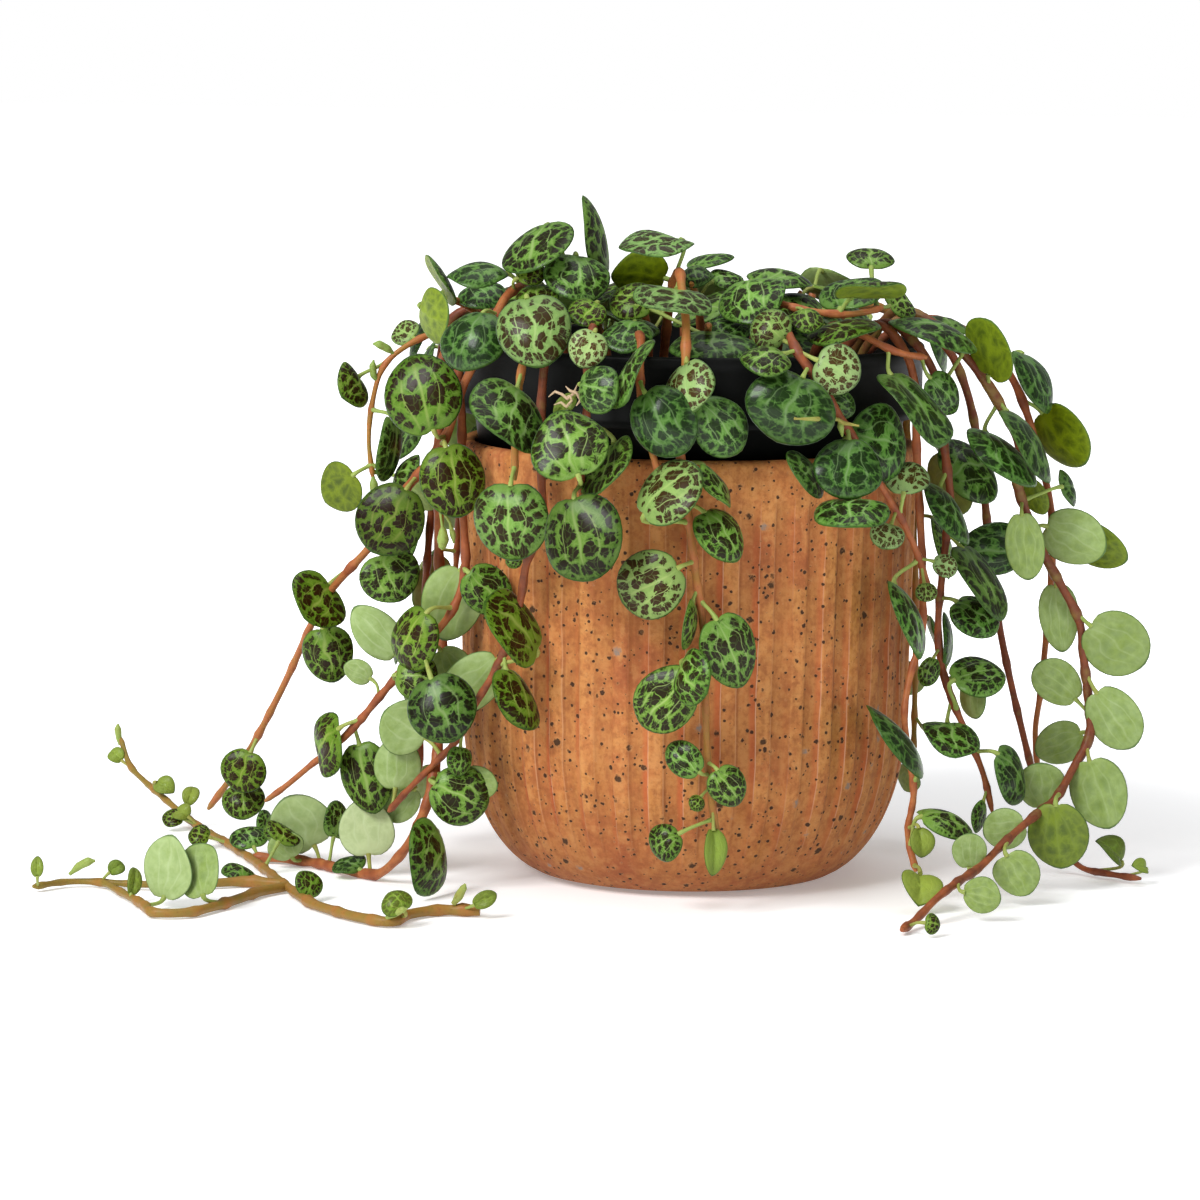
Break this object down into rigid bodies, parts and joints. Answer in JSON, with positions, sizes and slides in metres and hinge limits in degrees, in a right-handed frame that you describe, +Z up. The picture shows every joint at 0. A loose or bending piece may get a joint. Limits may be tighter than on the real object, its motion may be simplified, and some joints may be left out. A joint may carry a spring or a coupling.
{
  "type": "string of turtles plant in its pot",
  "caption": "Trailing string of turtles plant with round patterned leaves, in a black nursery pot set in a fluted, speckled terracotta cover pot.",
  "frame": {"origin": "centre of the cover pot's foot, on the surface that it stands on", "axes": "+Z up along the pot's axis, +X to the right as the picture shows it, +Y to the back"},
  "size_m": [0.2468, 0.1567, 0.1529],
  "materials": {
    "terracotta": "matte speckled",
    "black_plastic": "satin",
    "potting_mix": "rough crumb",
    "foliage": "waxy satin"
  },
  "bodies": {
    "root": {"cover_pot": "terracotta", "nursery_pot": "black_plastic", "potting_soil": "potting_mix", "strand_front_middle": "foliage", "strand_front_second": "foliage", "strand_front_young": "foliage", "strand_front_left": "foliage", "strand_left_red": "foliage", "strand_left_low": "foliage", "strand_left_long": "foliage", "strand_left_arc": "foliage", "strand_left_runner": "foliage", "strand_right_front": "foliage", "strand_right_short": "foliage", "strand_right_b": "foliage", "strand_right_c": "foliage", "strand_right_main": "foliage", "strand_right_behind": "foliage", "strand_right_floor": "foliage", "spray_top_right": "foliage", "spray_top_middle": "foliage", "spray_front_rim": "foliage", "spray_top_left": "foliage", "spray_left": "foliage", "strand_back_1": "foliage", "strand_back_2": "foliage", "strand_back_3": "foliage", "strand_back_4": "foliage", "strand_back_5": "foliage", "strand_back_6": "foliage", "strand_back_7": "foliage", "strand_back_8": "foliage", "strand_back_9": "foliage", "strand_back_10": "foliage", "shoot_middle_1": "foliage", "shoot_middle_2": "foliage", "shoot_middle_3": "foliage", "shoot_middle_4": "foliage", "shoot_middle_5": "foliage", "shoot_middle_6": "foliage", "shoot_middle_7": "foliage", "shoot_middle_8": "foliage", "shoot_middle_9": "foliage", "shoot_middle_10": "foliage"}
  },
  "joints": []
}
